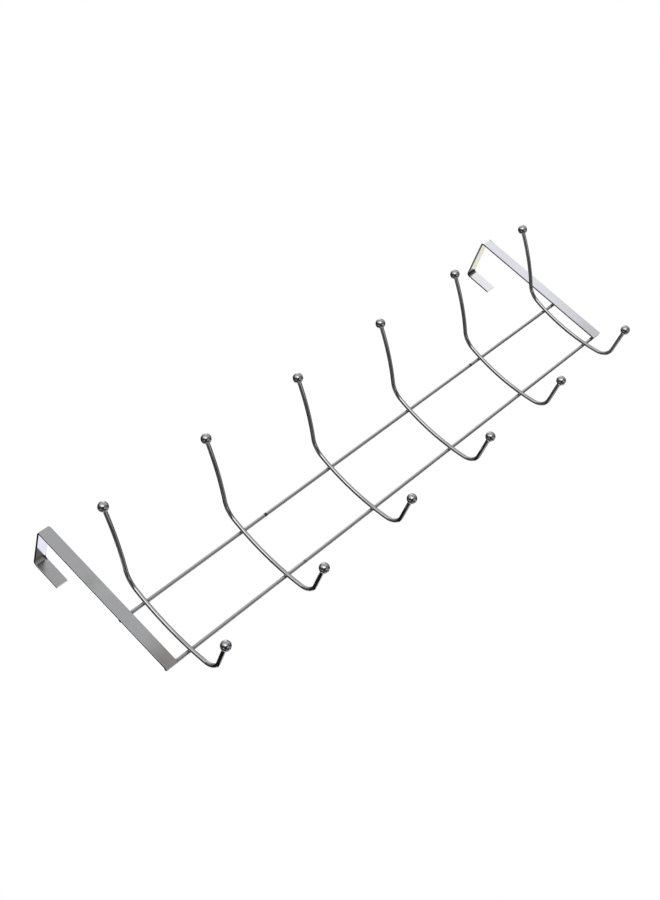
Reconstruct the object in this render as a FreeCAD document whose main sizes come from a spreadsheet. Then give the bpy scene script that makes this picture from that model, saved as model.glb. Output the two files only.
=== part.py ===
"""Over-door rack: two folded flat-bar straps, two wire rails and a row of double hooks with ball ends.

Frame: X runs along the rails, Y points back through the door, Z points up. The origin lies midway between
the straps, in the plane of the arms' backs (Y = 0) and of the webs' undersides (Z = 0), where the top front
edge of the door sits. Lengths are in millimetres and angles in degrees.
"""
import FreeCAD
import Part
import Sketcher
import math
import os

doc = FreeCAD.newDocument("over_door_rack")

# Driving dimensions

SIZES = {
    # the two straps, folded from flat bar
    "rack_length": 494.0,          # over the outer edges of the straps
    "strap_width": 9.5,
    "strap_thickness": 1.6,
    "fold_radius": 1.2,            # inside of each fold
    "edge_round": 0.25,            # rolled long edges of the flat bar
    "door_gap": 38.5,              # clear depth between an arm and its lip
    "lip_drop": 23.5,              # a lip's end below the underside of the web
    # the two rails
    "rail_diameter": 2.7,
    "rail_inset": 0.5,             # a rail's end inside the outer edge of the strap
    "upper_rail_drop": 81.9,       # axis of the upper rail below the underside of the web
    "rail_spacing": 44.5,
    # the row of double hooks
    "hook_wire": 3.0,
    "hook_clearance": 11.0,        # clear space between a strap and the hook beside it
    "weld_depth": 0.2,             # how far a wire is let into what it is welded to
    "bow_radius": 150.0,           # back of a hook, bowed towards the door between the rails
    "bow_rise": 9.0,               # the bow's upper end above the upper rail
    "bow_fall": 12.8,              # the bow's lower end below the lower rail
    "upper_bend_radius": 18.0,
    "upper_bend_angle": 50.0,
    "upper_prong_radius": 190.0,   # the long prong sweeps up to its ball
    "upper_prong_angle": 13.6,
    "upper_tip_length": 5.5,       # straight end of the long prong, up to the ball's centre
    "lower_bend_radius": 13.0,
    "lower_bend_angle": 75.5,
    "lower_prong_length": 25.3,    # straight short prong, up to the ball's centre
    "ball_diameter": 7.5,
}
HOOK_COUNT = 6

sizes = doc.addObject("Spreadsheet::Sheet", "sizes")
for row, (name, value) in enumerate(SIZES.items(), start=1):
    sizes.set(f"A{row}", name)
    sizes.set(f"B{row}", str(value))
    sizes.setAlias(f"B{row}", name)
doc.recompute()


# Helpers for bodies and sketches

def new_body(label):
    """An empty body whose label is the name of its node."""
    body = doc.addObject("PartDesign::Body", label)
    body.Label = label
    return body


def new_sketch(body, name, plane_role):
    """A sketch on one of the body's own origin planes."""
    plane = next(item for item in body.Origin.OriginFeatures if item.Role == plane_role)
    sketch = body.newObject("Sketcher::SketchObject", name)
    sketch.AttachmentSupport = [(plane, "")]
    sketch.MapMode = "FlatFace"
    return sketch


def bind(sketch, constraint, name, expression):
    """Add a named constraint whose value follows an expression on the sheet."""
    index = sketch.addConstraint(constraint)
    sketch.renameConstraint(index, name)
    sketch.setExpression(f"Constraints.{name}", expression)


def vector(point):
    """A sketch point from its two coordinates."""
    return FreeCAD.Vector(point[0], point[1], 0)


START, END, CENTRE = range(1, 4)       # the point positions of a sketch edge
X_AXIS, Y_AXIS = range(-1, -3, -1)     # the sketch's axes, numbered downwards
ORIGIN = (X_AXIS, START)               # the sketch's origin point
SAME_PLACE = 1e-6                      # lengths closer than this are the same


# The straps: a flat bar folded twice into an upside-down U

def make_strap(label, centre_expression):
    """The side profile in the YZ plane, padded to the width of the bar."""
    thickness = SIZES["strap_thickness"]
    inside = SIZES["fold_radius"]
    outside = inside + thickness
    gap = SIZES["door_gap"]
    arm_end = -(SIZES["upper_rail_drop"] + SIZES["rail_spacing"] + SIZES["rail_diameter"] / 2)
    lip_end = -SIZES["lip_drop"]

    body = new_body(label)
    profile = new_sketch(body, f"{label}_profile", "YZ_Plane")
    # down the arm's back, round the end, up its front, over the web and down the lip
    corners = [
        (0, -inside), (0, arm_end), (-thickness, arm_end), (-thickness, -inside),
        (inside, thickness), (gap - inside, thickness),
        (gap + thickness, -inside), (gap + thickness, lip_end), (gap, lip_end), (gap, -inside),
        (gap - inside, 0), (inside, 0),
    ]
    arm_back = profile.addGeometry(Part.LineSegment(vector(corners[0]), vector(corners[1])))
    arm_tip = profile.addGeometry(Part.LineSegment(vector(corners[1]), vector(corners[2])))
    arm_front = profile.addGeometry(Part.LineSegment(vector(corners[2]), vector(corners[3])))
    web_top = profile.addGeometry(Part.LineSegment(vector(corners[4]), vector(corners[5])))
    lip_back = profile.addGeometry(Part.LineSegment(vector(corners[6]), vector(corners[7])))
    lip_tip = profile.addGeometry(Part.LineSegment(vector(corners[7]), vector(corners[8])))
    lip_front = profile.addGeometry(Part.LineSegment(vector(corners[8]), vector(corners[9])))
    web_under = profile.addGeometry(Part.LineSegment(vector(corners[10]), vector(corners[11])))

    def fold(centre, radius, first_angle, last_angle):
        circle = Part.Circle(vector(centre), FreeCAD.Vector(0, 0, 1), radius)
        arc = Part.ArcOfCircle(circle, math.radians(first_angle), math.radians(last_angle))
        return profile.addGeometry(arc)

    front_outer = fold((inside, -inside), outside, 90, 180)
    front_inner = fold((inside, -inside), inside, 90, 180)
    back_outer = fold((gap - inside, -inside), outside, 0, 90)
    back_inner = fold((gap - inside, -inside), inside, 0, 90)

    joints = [
        (arm_back, END, arm_tip, START), (arm_tip, END, arm_front, START),
        (lip_back, END, lip_tip, START), (lip_tip, END, lip_front, START),
    ]
    for first, first_end, second, second_end in joints:
        profile.addConstraint(Sketcher.Constraint("Coincident", first, first_end, second, second_end))
    smooth_joints = [
        (arm_front, END, front_outer, END), (front_outer, START, web_top, START),
        (web_top, END, back_outer, END), (back_outer, START, lip_back, START),
        (lip_front, END, back_inner, START), (back_inner, END, web_under, START),
        (web_under, END, front_inner, START), (front_inner, END, arm_back, START),
    ]
    for first, first_end, second, second_end in smooth_joints:
        profile.addConstraint(Sketcher.Constraint("Tangent", first, first_end, second, second_end))
    for upright in (arm_back, arm_front, lip_back, lip_front):
        profile.addConstraint(Sketcher.Constraint("Vertical", upright))
    for level in (web_top, web_under, arm_tip, lip_tip):
        profile.addConstraint(Sketcher.Constraint("Horizontal", level))
    profile.addConstraint(Sketcher.Constraint("PointOnObject", arm_back, START, Y_AXIS))
    profile.addConstraint(Sketcher.Constraint("PointOnObject", web_under, START, X_AXIS))
    profile.addConstraint(Sketcher.Constraint("Coincident", front_outer, CENTRE, front_inner, CENTRE))
    profile.addConstraint(Sketcher.Constraint("Coincident", back_outer, CENTRE, back_inner, CENTRE))
    profile.addConstraint(Sketcher.Constraint("Equal", front_inner, back_inner))
    bind(profile, Sketcher.Constraint("Radius", front_inner, inside), "inside", "sizes.fold_radius")
    bind(profile, Sketcher.Constraint("DistanceX", arm_front, END, arm_back, START, thickness),
         "thickness", "sizes.strap_thickness")
    bind(profile, Sketcher.Constraint("DistanceX", arm_back, START, lip_front, END, gap),
         "door_gap", "sizes.door_gap")
    bind(profile, Sketcher.Constraint("DistanceY", arm_back, END, *ORIGIN, -arm_end),
         "arm_drop", "sizes.upper_rail_drop + sizes.rail_spacing + sizes.rail_diameter / 2")
    bind(profile, Sketcher.Constraint("DistanceY", lip_tip, START, *ORIGIN, -lip_end),
         "lip_drop", "sizes.lip_drop")

    pad = body.newObject("PartDesign::Pad", f"{label}_pad")
    pad.Profile = profile
    pad.Midplane = True
    pad.setExpression("Length", "sizes.strap_width")
    body.setExpression("Placement.Base.x", centre_expression)
    doc.recompute()

    # the bar's long edges are the outlines of the two side faces
    half_width = SIZES["strap_width"] / 2
    long_edges = []
    for index, edge in enumerate(pad.Shape.Edges, start=1):
        on_side = all(abs(abs(vertex.X) - half_width) < SAME_PLACE for vertex in edge.Vertexes)
        if on_side and edge.BoundBox.XLength < SAME_PLACE:
            long_edges.append(f"Edge{index}")
    rounding = body.newObject("PartDesign::Fillet", f"{label}_edges")
    rounding.Base = (pad, long_edges)
    rounding.setExpression("Radius", "sizes.edge_round")
    doc.recompute()
    return body


left_strap = make_strap("left_strap", "(sizes.strap_width - sizes.rack_length) / 2")
right_strap = make_strap("right_strap", "(sizes.rack_length - sizes.strap_width) / 2")


# The double hooks: one wire each, swept along tangent arcs

class Route:
    """Walks along the centre line of a wire in the YZ plane and keeps each stretch for the sketch."""

    def __init__(self, point, heading):
        self.point = point
        self.heading = math.radians(heading)
        self.stretches = []

    def line(self, length):
        """Go straight on."""
        step = (length * math.cos(self.heading), length * math.sin(self.heading))
        target = (self.point[0] + step[0], self.point[1] + step[1])
        self.stretches.append(("line", self.point, target))
        self.point = target

    def arc(self, radius, turn):
        """Turn left by a positive angle in degrees, or right by a negative one."""
        side = math.copysign(1, turn)
        centre = (self.point[0] - side * radius * math.sin(self.heading),
                  self.point[1] + side * radius * math.cos(self.heading))
        self.heading += math.radians(turn)
        target = (centre[0] + side * radius * math.sin(self.heading),
                  centre[1] - side * radius * math.cos(self.heading))
        self.stretches.append(("arc", self.point, target, centre, side))
        self.point = target


def hook_route():
    """From the upper ball's centre to the lower ball's centre, worked out from the bow both ways."""
    half_spacing = SIZES["rail_spacing"] / 2
    radius = SIZES["bow_radius"]
    centre_y = -SIZES["hook_wire"] / 2 - math.sqrt(radius ** 2 - half_spacing ** 2)
    centre_z = -SIZES["upper_rail_drop"] - half_spacing
    top_angle = math.asin((half_spacing + SIZES["bow_rise"]) / radius)
    bottom_angle = -math.asin((half_spacing + SIZES["bow_fall"]) / radius)

    def on_bow(angle):
        return centre_y + radius * math.cos(angle), centre_z + radius * math.sin(angle)

    up = Route(on_bow(top_angle), math.degrees(top_angle) + 90)
    up.arc(SIZES["upper_bend_radius"], SIZES["upper_bend_angle"])
    up.arc(SIZES["upper_prong_radius"], -SIZES["upper_prong_angle"])
    up.line(SIZES["upper_tip_length"])
    down = Route(on_bow(bottom_angle), math.degrees(bottom_angle) - 90)
    down.arc(SIZES["lower_bend_radius"], -SIZES["lower_bend_angle"])
    down.line(SIZES["lower_prong_length"])
    bow = ("arc", on_bow(bottom_angle), on_bow(top_angle), (centre_y, centre_z), 1)
    return up.stretches, bow, down.stretches


def add_stretch(sketch, stretch):
    """Add one line or arc, and return its index with the end that each traveller meets first and last."""
    if stretch[0] == "line":
        return sketch.addGeometry(Part.LineSegment(vector(stretch[1]), vector(stretch[2]))), START, END
    _, first, last, centre, side = stretch
    low, high = (first, last) if side > 0 else (last, first)
    angles = [math.atan2(point[1] - centre[1], point[0] - centre[0]) for point in (low, high)]
    radius = math.dist(centre, low)
    circle = Part.Circle(vector(centre), FreeCAD.Vector(0, 0, 1), radius)
    index = sketch.addGeometry(Part.ArcOfCircle(circle, angles[0], angles[1]))
    return (index, START, END) if side > 0 else (index, END, START)


def edge_name(sketch, stretch):
    """The name of the sketch's edge whose middle is the middle of a straight stretch."""
    middle = FreeCAD.Vector(0, (stretch[1][0] + stretch[2][0]) / 2, (stretch[1][1] + stretch[2][1]) / 2)
    distances = [edge.CenterOfMass.distanceToPoint(middle) for edge in sketch.Shape.Edges]
    return f"Edge{distances.index(min(distances)) + 1}"


def make_hook(label, centre_expression):
    """A round wire swept along the double hook's centre line."""
    upper, bow_stretch, lower = hook_route()
    body = new_body(label)
    path = new_sketch(body, f"{label}_path", "YZ_Plane")
    bow, bow_bottom, bow_top = add_stretch(path, bow_stretch)
    upper_bend, upper_bend_in, upper_bend_out = add_stretch(path, upper[0])
    upper_prong, upper_prong_in, upper_prong_out = add_stretch(path, upper[1])
    upper_tip, upper_tip_in, upper_tip_out = add_stretch(path, upper[2])
    lower_bend, lower_bend_in, lower_bend_out = add_stretch(path, lower[0])
    lower_prong, lower_prong_in, lower_prong_out = add_stretch(path, lower[1])
    for first, first_end, second, second_end in [
        (bow, bow_top, upper_bend, upper_bend_in),
        (upper_bend, upper_bend_out, upper_prong, upper_prong_in),
        (upper_prong, upper_prong_out, upper_tip, upper_tip_in),
        (bow, bow_bottom, lower_bend, lower_bend_in),
        (lower_bend, lower_bend_out, lower_prong, lower_prong_in),
    ]:
        path.addConstraint(Sketcher.Constraint("Tangent", first, first_end, second, second_end))

    # the bow is level with the middle of the rails, and its back touches the plane of the arms' backs
    centre = bow_stretch[3]
    bind(path, Sketcher.Constraint("Radius", bow, SIZES["bow_radius"]), "bow_radius", "sizes.bow_radius")
    bind(path, Sketcher.Constraint("DistanceX", bow, CENTRE, *ORIGIN, -centre[0]), "bow_forward",
         "sizes.hook_wire / 2 + sqrt(sizes.bow_radius ^ 2 - (sizes.rail_spacing / 2) ^ 2)")
    bind(path, Sketcher.Constraint("DistanceY", bow, CENTRE, *ORIGIN, -centre[1]), "bow_drop",
         "sizes.upper_rail_drop + sizes.rail_spacing / 2")
    bind(path, Sketcher.Constraint("DistanceY", bow, bow_top, *ORIGIN, -bow_stretch[2][1]), "bow_top",
         "sizes.upper_rail_drop - sizes.bow_rise")
    bind(path, Sketcher.Constraint("DistanceY", bow, bow_bottom, *ORIGIN, -bow_stretch[1][1]), "bow_bottom",
         "sizes.upper_rail_drop + sizes.rail_spacing + sizes.bow_fall")
    for name, index in (("upper_bend", upper_bend), ("upper_prong", upper_prong), ("lower_bend", lower_bend)):
        radius, angle = SIZES[f"{name}_radius"], SIZES[f"{name}_angle"]
        bind(path, Sketcher.Constraint("Radius", index, radius), f"{name}_radius", f"sizes.{name}_radius")
        bind(path, Sketcher.Constraint("Angle", index, math.radians(angle)), f"{name}_angle",
             f"sizes.{name}_angle * 1 deg")
    for name, index in (("upper_tip", upper_tip), ("lower_prong", lower_prong)):
        length = SIZES[f"{name}_length"]
        bind(path, Sketcher.Constraint("Distance", index, length), f"{name}_length", f"sizes.{name}_length")

    # where each ball's centre lies, read off the path for the balls' placements
    for name, index, end in (("upper", upper_tip, upper_tip_out), ("lower", lower_prong, lower_prong_out)):
        point = path.getPoint(index, end)
        forward = path.addConstraint(Sketcher.Constraint("DistanceX", index, end, *ORIGIN, -point.x))
        path.renameConstraint(forward, f"{name}_forward")
        path.setDriving(forward, False)
        drop = path.addConstraint(Sketcher.Constraint("DistanceY", index, end, *ORIGIN, -point.y))
        path.renameConstraint(drop, f"{name}_drop")
        path.setDriving(drop, False)
    doc.recompute()

    section = body.newObject("Sketcher::SketchObject", f"{label}_section")
    section.AttachmentSupport = [(path, edge_name(path, upper[2]))]
    section.MapMode = "NormalToEdge"
    outline = section.addGeometry(Part.Circle(vector((0, 0)), FreeCAD.Vector(0, 0, 1), SIZES["hook_wire"] / 2))
    section.addConstraint(Sketcher.Constraint("Coincident", outline, CENTRE, *ORIGIN))
    bind(section, Sketcher.Constraint("Diameter", outline, SIZES["hook_wire"]), "hook_wire", "sizes.hook_wire")
    wire = body.newObject("PartDesign::AdditivePipe", f"{label}_wire")
    wire.Profile = section
    wire.Spine = path
    body.setExpression("Placement.Base.x", centre_expression)
    doc.recompute()
    return body


OUTER_HOOK = "(sizes.rack_length / 2 - sizes.strap_width - sizes.hook_clearance - sizes.hook_wire / 2)"


def hook_centre(number):
    """The place along the rails of a hook, evenly spaced from the left, as an expression."""
    share = (2 * number - HOOK_COUNT - 1) / (HOOK_COUNT - 1)
    return f"{share} * {OUTER_HOOK}"


hooks = [make_hook(f"hook_{number}", hook_centre(number)) for number in range(1, HOOK_COUNT + 1)]


# The balls: each is drilled to its centre, where the end of its wire seats

def make_ball(label, hook_label, end_name, centre_expression, lean_expression):
    """A drilled sphere, revolved about its own Z axis, which carries on in the wire's direction."""
    radius = SIZES["ball_diameter"] / 2
    bore = SIZES["hook_wire"] / 2
    mouth = -math.sqrt(radius ** 2 - bore ** 2)
    body = new_body(label)
    profile = new_sketch(body, f"{label}_profile", "XZ_Plane")
    axis_line = profile.addGeometry(Part.LineSegment(vector((0, radius)), vector((0, 0))))
    seat = profile.addGeometry(Part.LineSegment(vector((0, 0)), vector((bore, 0))))
    wall = profile.addGeometry(Part.LineSegment(vector((bore, 0)), vector((bore, mouth))))
    circle = Part.Circle(vector((0, 0)), FreeCAD.Vector(0, 0, 1), radius)
    outside = profile.addGeometry(Part.ArcOfCircle(circle, math.atan2(mouth, bore), math.pi / 2))
    for first, first_end, second, second_end in [
        (axis_line, END, seat, START), (seat, END, wall, START),
        (wall, END, outside, START), (outside, END, axis_line, START),
    ]:
        profile.addConstraint(Sketcher.Constraint("Coincident", first, first_end, second, second_end))
    profile.addConstraint(Sketcher.Constraint("Coincident", seat, START, *ORIGIN))
    profile.addConstraint(Sketcher.Constraint("Coincident", outside, CENTRE, *ORIGIN))
    profile.addConstraint(Sketcher.Constraint("Vertical", axis_line))
    profile.addConstraint(Sketcher.Constraint("Horizontal", seat))
    profile.addConstraint(Sketcher.Constraint("Vertical", wall))
    bind(profile, Sketcher.Constraint("Radius", outside, radius), "ball", "sizes.ball_diameter / 2")
    bind(profile, Sketcher.Constraint("Distance", seat, bore), "bore", "sizes.hook_wire / 2")
    ball = body.newObject("PartDesign::Revolution", f"{label}_ball")
    ball.Profile = profile
    ball.ReferenceAxis = (profile, ["V_Axis"])
    ball.Angle = 360

    # the ball leans forward about X; the first angle only sets that axis
    first_angle = 45
    body.Placement = FreeCAD.Placement(FreeCAD.Vector(), FreeCAD.Rotation(FreeCAD.Vector(1, 0, 0), first_angle))
    body.setExpression("Placement.Rotation.Angle", lean_expression)
    body.setExpression("Placement.Base.x", centre_expression)
    body.setExpression("Placement.Base.y", f"-{hook_label}_path.Constraints.{end_name}_forward")
    body.setExpression("Placement.Base.z", f"-{hook_label}_path.Constraints.{end_name}_drop")
    doc.recompute()
    return body


# how far the wire's end leans forward from straight up
UPPER_LEAN = ("asin((sizes.rail_spacing / 2 + sizes.bow_rise) / sizes.bow_radius)"
              " + (sizes.upper_bend_angle - sizes.upper_prong_angle) * 1 deg")
LOWER_LEAN = ("180 deg - asin((sizes.rail_spacing / 2 + sizes.bow_fall) / sizes.bow_radius)"
              " - sizes.lower_bend_angle * 1 deg")

balls = []
for end_name, lean in (("upper", UPPER_LEAN), ("lower", LOWER_LEAN)):
    for number in range(1, HOOK_COUNT + 1):
        label = f"{end_name}_ball_{number}"
        balls.append(make_ball(label, f"hook_{number}", end_name, hook_centre(number), lean))


# The rails: round bars let into the backs of the arms, with a bed for each hook

def make_bed_ring(number):
    """The full ring of a hook's bow, which cuts the hook's bed in each rail."""
    ring = doc.addObject("Part::Torus", f"bed_ring_{number}")
    ring.Placement = FreeCAD.Placement(FreeCAD.Vector(), FreeCAD.Rotation(FreeCAD.Vector(0, 1, 0), 90))
    ring.setExpression("Radius1", "sizes.bow_radius")
    ring.setExpression("Radius2", "sizes.hook_wire / 2")
    ring.setExpression("Placement.Base.x", hook_centre(number))
    ring.setExpression("Placement.Base.y", f"-hook_{number}_path.Constraints.bow_forward")
    ring.setExpression("Placement.Base.z", f"-hook_{number}_path.Constraints.bow_drop")
    return ring


bed_rings = [make_bed_ring(number) for number in range(1, HOOK_COUNT + 1)]
welded_pieces = doc.addObject("Part::Compound", "welded_pieces")
welded_pieces.Links = [left_strap, right_strap] + bed_rings


def make_rail(label, drop_expression):
    """A round bar along X, less what is welded to it."""
    bar = doc.addObject("Part::Cylinder", f"{label}_bar")
    bar.Placement = FreeCAD.Placement(FreeCAD.Vector(), FreeCAD.Rotation(FreeCAD.Vector(0, 1, 0), 90))
    bar.setExpression("Radius", "sizes.rail_diameter / 2")
    bar.setExpression("Height", "sizes.rack_length - 2 * sizes.rail_inset")
    bar.setExpression("Placement.Base.x", "sizes.rail_inset - sizes.rack_length / 2")
    bar.setExpression("Placement.Base.y", "sizes.rail_diameter / 2 - sizes.weld_depth")
    bar.setExpression("Placement.Base.z", drop_expression)
    rail = doc.addObject("Part::Cut", label)
    rail.Label = label
    rail.Base = bar
    rail.Tool = welded_pieces
    return rail


rails = [
    make_rail("upper_rail", "-sizes.upper_rail_drop"),
    make_rail("lower_rail", "-sizes.upper_rail_drop - sizes.rail_spacing"),
]
doc.recompute()


# Check every object, then write one file for each piece

for item in doc.Objects:
    if "Invalid" in item.State or "Error" in item.State:
        raise RuntimeError(f"{item.Label} failed: {item.State}")

os.makedirs("parts", exist_ok=True)
for piece in [left_strap, right_strap] + rails + hooks + balls:
    shape = piece.Shape
    if shape.isNull() or not shape.isValid() or len(shape.Solids) != 1:
        raise RuntimeError(f"{piece.Label} is not one sound solid")
    shape.exportStep(f"parts/{piece.Label}.step")
    print(f"{piece.Label}: {shape.Volume:.1f} mm3")
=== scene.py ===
# %% [markdown]
# An over-door hook rack in Blender
#
# The rack is all metal: two flat-bar straps folded to sit over the top of a door, two thin rails welded
# behind them, and six double hooks of round wire with a ball on every end. Everything is chrome plated.
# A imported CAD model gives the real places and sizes. This script loads it as a fixed frame, models each
# piece again with finer and rounder meshes in the same place, and gives each one its plated finish.
# It could also keep the CAD meshes and only paint them, but those are loose triangles, and a mirror shows
# every flat facet. Bars and wires that are swept here stay smooth however close the reader looks.

# %% The frame
import math

import bmesh
import bpy
from mathutils import Matrix, Vector, noise


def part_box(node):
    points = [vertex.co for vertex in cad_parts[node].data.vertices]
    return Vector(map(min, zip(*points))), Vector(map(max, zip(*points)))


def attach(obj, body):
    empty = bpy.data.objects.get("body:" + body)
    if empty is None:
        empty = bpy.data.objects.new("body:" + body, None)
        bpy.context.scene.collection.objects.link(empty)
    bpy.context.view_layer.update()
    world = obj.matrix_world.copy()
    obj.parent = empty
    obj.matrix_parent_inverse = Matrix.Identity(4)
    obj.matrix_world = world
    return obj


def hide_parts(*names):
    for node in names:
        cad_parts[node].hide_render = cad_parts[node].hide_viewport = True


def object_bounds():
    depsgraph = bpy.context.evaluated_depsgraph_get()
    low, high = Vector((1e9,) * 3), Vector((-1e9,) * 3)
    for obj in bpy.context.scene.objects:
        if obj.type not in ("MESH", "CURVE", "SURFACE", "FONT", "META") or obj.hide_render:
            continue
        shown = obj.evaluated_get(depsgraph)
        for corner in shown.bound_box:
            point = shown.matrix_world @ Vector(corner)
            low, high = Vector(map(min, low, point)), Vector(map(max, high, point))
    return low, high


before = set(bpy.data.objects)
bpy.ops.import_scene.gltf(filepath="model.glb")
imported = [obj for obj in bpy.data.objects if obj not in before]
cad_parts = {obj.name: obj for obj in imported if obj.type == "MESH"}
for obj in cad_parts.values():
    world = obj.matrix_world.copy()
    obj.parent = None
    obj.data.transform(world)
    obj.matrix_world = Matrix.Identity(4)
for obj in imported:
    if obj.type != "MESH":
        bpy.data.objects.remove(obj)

cad_low, cad_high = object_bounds()
MM = 0.001
size = (cad_high - cad_low) / MM
print(f"frame: {len(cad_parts)} pieces, {size.x:.1f} x {size.y:.1f} x {size.z:.1f} mm")

# %% [markdown]
# What the frame says
#
# A box round each CAD piece tells most of what is needed: how wide the strap is, how thick the rails are,
# how far apart the hooks stand. The sizes could be typed in again, but then a change in the CAD model
# would have to be made twice. Read from the frame, the looks and the construction stay together.

# %% Sizes of the straps
strap_low, strap_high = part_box("left_strap")
STRAP_WIDTH = strap_high.x - strap_low.x
STRAP_THICKNESS = strap_high.z
DOOR_GAP = strap_high.y - STRAP_THICKNESS
ARM_END = strap_low.z
print(f"strap {STRAP_WIDTH / MM:.1f} x {STRAP_THICKNESS / MM:.1f} mm, door gap {DOOR_GAP / MM:.1f} mm")

# %% Sizes of the rails
rail_boxes = {name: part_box(name) for name in ("upper_rail", "lower_rail")}
rail_axes = {name: (low + high) / 2 for name, (low, high) in rail_boxes.items()}
RAIL_RADIUS = (rail_boxes["upper_rail"][1].z - rail_boxes["upper_rail"][0].z) / 2
RAIL_SPACING = rail_axes["upper_rail"].z - rail_axes["lower_rail"].z
print(f"rails {2 * RAIL_RADIUS / MM:.2f} mm thick, {RAIL_SPACING / MM:.1f} mm apart")

# %% Sizes of the hooks and balls
HOOKS = sorted(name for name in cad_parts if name.startswith("hook_"))
hook_boxes = [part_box(name) for name in HOOKS]
hook_places = [(low.x + high.x) / 2 for low, high in hook_boxes]
WIRE_RADIUS = (hook_boxes[0][1].x - hook_boxes[0][0].x) / 2
ball_low, ball_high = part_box("upper_ball_1")
BALL_RADIUS = (ball_high.x - ball_low.x) / 2
print(f"{len(HOOKS)} hooks of {2 * WIRE_RADIUS / MM:.2f} mm wire, balls {2 * BALL_RADIUS / MM:.2f} mm")

# %% [markdown]
# What a box can't tell
#
# The radius of a bend, and how far a wire runs before it, don't show in a box. A maker sets these on the
# wire former, one pair of numbers for each bend, and so they are written down here as such pairs. They
# could be measured on the CAD mesh, but a measured radius is never as exact as the one it was made with.

# %% Sizes of the bends
FOLD_RADIUS = 1.2 * MM          # inside of a strap's fold
LIP_DROP = 23.5 * MM            # a lip's end below the underside of the web
EDGE_ROUND = 0.25 * MM          # rolled edges of the flat bar
BOW_RADIUS = 150 * MM           # the back of a hook, between the rails
BOW_RISE = 9 * MM               # the bow's upper end above the upper rail
BOW_FALL = 12.8 * MM            # the bow's lower end below the lower rail
UPPER_BEND = (18 * MM, 50)      # radius, and turn in degrees
UPPER_PRONG = (190 * MM, 13.6)
UPPER_TIP = 5.5 * MM
LOWER_BEND = (13 * MM, 75.5)
LOWER_PRONG = 25.3 * MM
WELD_DEPTH = 0.2 * MM           # how far one wire is let into the other
print(f"bends of {LOWER_BEND[0] / MM:.0f}, {BOW_RADIUS / MM:.0f} and {UPPER_BEND[0] / MM:.0f} mm in a hook")

# %% [markdown]
# The camera
#
# The photograph looks up at the rack from below and from the left, with the camera rolled on its side, so
# the rack runs from corner to corner. The camera's turn could be given as a matrix, but nobody can read
# one. Three angles say the same: where the camera heads, how far it tips up, and how far it is rolled.

# %% Camera
CAMERA_PLACE = (-0.5744, -0.7632, -0.3319)
HEADING = 35.33                 # degrees right of straight ahead, which is +Y
PITCH = 15.57                   # degrees above level
ROLL = 46.50                    # degrees clockwise
FOCAL_PIXELS = 1310.8
LONG_SIDE = 900                 # pixels of the picture's long side
SENSOR = 36.0


def add_camera():
    """A camera turned by heading, pitch and roll, whose sensor fits the picture's long side."""
    data = bpy.data.cameras.new("camera")
    data.sensor_width = SENSOR
    data.lens = FOCAL_PIXELS * SENSOR / LONG_SIDE
    camera = bpy.data.objects.new("camera", data)
    turn = (Matrix.Rotation(-math.radians(HEADING), 4, "Z")
            @ Matrix.Rotation(math.radians(90 + PITCH), 4, "X")
            @ Matrix.Rotation(-math.radians(ROLL), 4, "Z"))
    camera.matrix_world = Matrix.Translation(CAMERA_PLACE) @ turn
    bpy.context.scene.collection.objects.link(camera)
    bpy.context.scene.camera = camera
    return camera


camera = add_camera()
print(f"camera: {camera.data.lens:.1f} mm lens, {Vector(CAMERA_PLACE).length:.2f} m from the origin")

# %% [markdown]
# Writing shader maths
#
# A plated finish is a handful of sums on textures. Wired by hand, each sum is a node with two links, and
# the reader loses the thread. A small class that wraps one output socket lets Python's own signs build
# those nodes, so 1 - mask and stain * 0.3 read as they would on paper.

# %% Sockets as values
class Tone:
    """One output socket of a node tree. Arithmetic on it adds Math nodes."""

    def __init__(self, finish, socket):
        self.finish = finish
        self.socket = socket

    def maths(self, operation, *values):
        """A Math node on some values, each a number or another Tone."""
        return self.finish.node("ShaderNodeMath", {"operation": operation}, dict(enumerate(values)))

    def __add__(self, other):
        return self.maths("ADD", self, other)

    def __radd__(self, other):
        return self.maths("ADD", other, self)

    def __sub__(self, other):
        return self.maths("SUBTRACT", self, other)

    def __rsub__(self, other):
        return self.maths("SUBTRACT", other, self)

    def __mul__(self, other):
        return self.maths("MULTIPLY", self, other)

    def __rmul__(self, other):
        return self.maths("MULTIPLY", other, self)

    def __truediv__(self, other):
        return self.maths("DIVIDE", self, other)

    def __abs__(self):
        return self.maths("ABSOLUTE", self)

    def step(self, low, high):
        """0 below low, 1 above high and a smooth rise between. With low above high it falls instead."""
        settings = {"interpolation_type": "SMOOTHSTEP"}
        return self.finish.node("ShaderNodeMapRange", settings, {0: self, 1: low, 2: high, 3: 0.0, 4: 1.0})


# %% [markdown]
# Adding a node
#
# All other nodes come from one method of a class that stands for a node tree. It sets a node's settings
# first and its sockets after, because some settings change the sockets. Materials, lamps and the world
# all have such a tree, so one class serves the plating and the light.

# %% Node trees
class Finish:
    """The node tree of one material, lamp or world, emptied and ready to be filled."""

    def __init__(self, owner):
        owner.use_nodes = True
        self.tree = owner.node_tree
        self.tree.nodes.clear()

    def node(self, kind, settings=None, sockets=None, out=0):
        """Adds a node, sets its settings, then gives each socket its value or its link."""
        made = self.tree.nodes.new(kind)
        for name, value in (settings or {}).items():
            setattr(made, name, value)
        for name, value in (sockets or {}).items():
            if isinstance(value, Tone):
                self.tree.links.new(value.socket, made.inputs[name])
            else:
                made.inputs[name].default_value = value
        return Tone(self, made.outputs[out] if made.outputs else None)

    def mix(self, factor, first, second):
        """A colour between two colours. A Mix node's colours are its sockets 6 and 7, and its output 2."""
        return self.node("ShaderNodeMix", {"data_type": "RGBA"}, {0: factor, 6: first, 7: second}, out=2)


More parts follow.
